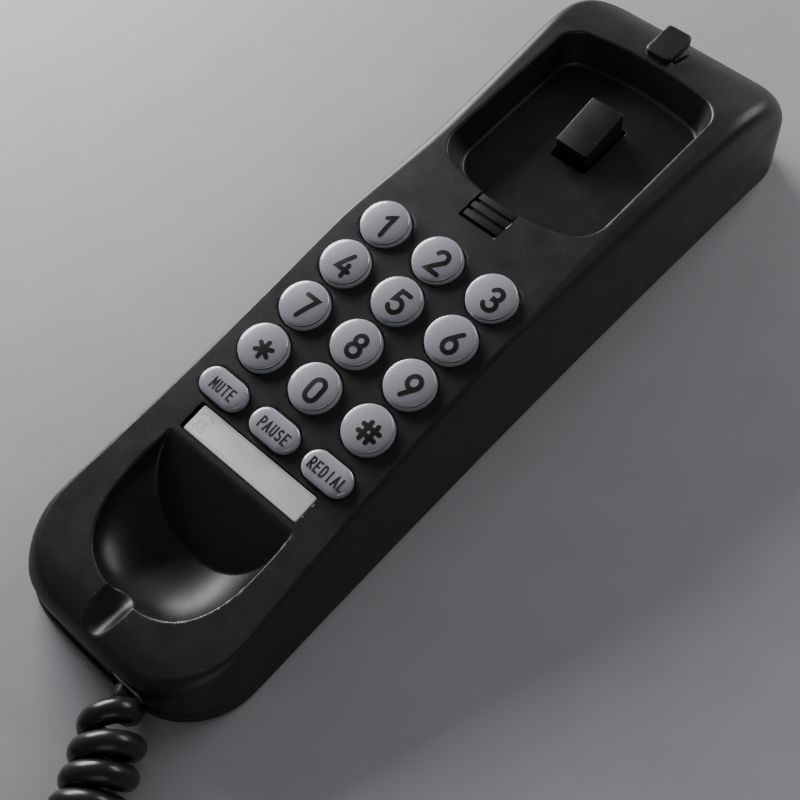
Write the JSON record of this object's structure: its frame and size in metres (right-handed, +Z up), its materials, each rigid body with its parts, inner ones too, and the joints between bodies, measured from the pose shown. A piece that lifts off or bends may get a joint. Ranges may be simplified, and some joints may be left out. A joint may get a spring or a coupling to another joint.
{
  "type": "corded telephone cradle unit",
  "caption": "Cradle unit of a slim corded telephone: round-key dial, ear recess with hook switch, mouth bowl, label strip and curly handset cord.",
  "frame": {"origin": "on the table under the middle of the body", "axes": "+Y along the body from the mouth end to the ear end, +X to the right seen with the dial upright, +Z up"},
  "size_m": [0.0668, 0.3482, 0.0382],
  "materials": {
    "black_abs": "fine-textured",
    "black_gloss": "satin",
    "key_clear": "clear over silver grey",
    "key_satin": "satin silver grey",
    "clear_plastic": "clear",
    "paper": "silver white",
    "silicone": "matte",
    "black_rubber": "matte",
    "cord_vinyl": "satin",
    "circuit_board": "solder mask",
    "steel": "zinc plated",
    "brass_disc": "plain"
  },
  "bodies": {
    "base": {"upper_housing": "black_abs", "lower_cover": "black_abs", "hook_pin": "steel", "hook_switch": "black_gloss", "switch_leaf": "steel", "keypad_mat": "silicone", "keypad_board": "circuit_board", "main_board": "circuit_board", "label_card": "paper", "label_window": "clear_plastic", "ringer": "brass_disc", "ringer_switch": "steel", "handset_jack": "black_gloss", "line_jack": "black_gloss", "ballast_plate": "steel", "rubber_feet": "black_rubber", "cover_screws": "steel", "near_plug": "clear_plastic", "near_tail": "cord_vinyl", "curly_cord": "cord_vinyl", "far_tail": "cord_vinyl", "far_plug": "clear_plastic", "cord_tie": "silicone"},
    "key_1_body": {"key_1": "key_clear"},
    "key_2_body": {"key_2": "key_clear"},
    "key_3_body": {"key_3": "key_clear"},
    "key_4_body": {"key_4": "key_clear"},
    "key_5_body": {"key_5": "key_clear"},
    "key_6_body": {"key_6": "key_clear"},
    "key_7_body": {"key_7": "key_clear"},
    "key_8_body": {"key_8": "key_clear"},
    "key_9_body": {"key_9": "key_clear"},
    "key_star_body": {"key_star": "key_clear"},
    "key_0_body": {"key_0": "key_clear"},
    "key_hash_body": {"key_hash": "key_clear"},
    "key_mute_body": {"key_mute": "key_satin"},
    "key_pause_body": {"key_pause": "key_satin"},
    "key_redial_body": {"key_redial": "key_satin"},
    "hook_button_body": {"hook_button": "black_gloss"},
    "hook_insert_body": {"hook_insert": "black_gloss"},
    "ringer_slider_body": {"ringer_slider": "black_abs"}
  },
  "joints": [
    {"name": "press_1", "type": "slide", "parent": "base", "child": "key_1_body", "axis": [0, 0.1822, -0.9833], "range_m": [0, 0.0012], "stiffness_N_per_m": 350, "springref_m": -0.0006},
    {"name": "press_2", "type": "slide", "parent": "base", "child": "key_2_body", "axis": [0, 0.1822, -0.9833], "range_m": [0, 0.0012], "stiffness_N_per_m": 350, "springref_m": -0.0006},
    {"name": "press_3", "type": "slide", "parent": "base", "child": "key_3_body", "axis": [0, 0.1822, -0.9833], "range_m": [0, 0.0012], "stiffness_N_per_m": 350, "springref_m": -0.0006},
    {"name": "press_4", "type": "slide", "parent": "base", "child": "key_4_body", "axis": [0, 0.1822, -0.9833], "range_m": [0, 0.0012], "stiffness_N_per_m": 350, "springref_m": -0.0006},
    {"name": "press_5", "type": "slide", "parent": "base", "child": "key_5_body", "axis": [0, 0.1822, -0.9833], "range_m": [0, 0.0012], "stiffness_N_per_m": 350, "springref_m": -0.0006},
    {"name": "press_6", "type": "slide", "parent": "base", "child": "key_6_body", "axis": [0, 0.1822, -0.9833], "range_m": [0, 0.0012], "stiffness_N_per_m": 350, "springref_m": -0.0006},
    {"name": "press_7", "type": "slide", "parent": "base", "child": "key_7_body", "axis": [0, 0.1822, -0.9833], "range_m": [0, 0.0012], "stiffness_N_per_m": 350, "springref_m": -0.0006},
    {"name": "press_8", "type": "slide", "parent": "base", "child": "key_8_body", "axis": [0, 0.1822, -0.9833], "range_m": [0, 0.0012], "stiffness_N_per_m": 350, "springref_m": -0.0006},
    {"name": "press_9", "type": "slide", "parent": "base", "child": "key_9_body", "axis": [0, 0.1822, -0.9833], "range_m": [0, 0.0012], "stiffness_N_per_m": 350, "springref_m": -0.0006},
    {"name": "press_star", "type": "slide", "parent": "base", "child": "key_star_body", "axis": [0, 0.1822, -0.9833], "range_m": [0, 0.0012], "stiffness_N_per_m": 350, "springref_m": -0.0006},
    {"name": "press_0", "type": "slide", "parent": "base", "child": "key_0_body", "axis": [0, 0.1822, -0.9833], "range_m": [0, 0.0012], "stiffness_N_per_m": 350, "springref_m": -0.0006},
    {"name": "press_hash", "type": "slide", "parent": "base", "child": "key_hash_body", "axis": [0, 0.1822, -0.9833], "range_m": [0, 0.0012], "stiffness_N_per_m": 350, "springref_m": -0.0006},
    {"name": "press_mute", "type": "slide", "parent": "base", "child": "key_mute_body", "axis": [0, 0.1822, -0.9833], "range_m": [0, 0.001], "stiffness_N_per_m": 350, "springref_m": -0.0006},
    {"name": "press_pause", "type": "slide", "parent": "base", "child": "key_pause_body", "axis": [0, 0.1822, -0.9833], "range_m": [0, 0.001], "stiffness_N_per_m": 350, "springref_m": -0.0006},
    {"name": "press_redial", "type": "slide", "parent": "base", "child": "key_redial_body", "axis": [0, 0.1822, -0.9833], "range_m": [0, 0.001], "stiffness_N_per_m": 350, "springref_m": -0.0006},
    {"name": "hook_press", "type": "hinge", "parent": "base", "child": "hook_button_body", "pos_m": [0, 0.048, 0.02215], "axis": [-1, 0, 0], "range_deg": [0, 14], "stiffness_Nm_per_rad": 0.03, "springref_deg": -5.73},
    {"name": "hook_slide", "type": "slide", "parent": "base", "child": "hook_insert_body", "axis": [0, 0.9976, 0.0698], "range_m": [0, 0.003]},
    {"name": "ringer_slide", "type": "slide", "parent": "base", "child": "ringer_slider_body", "axis": [0, 1, 0], "range_m": [-0.003, 0.003]}
  ]
}
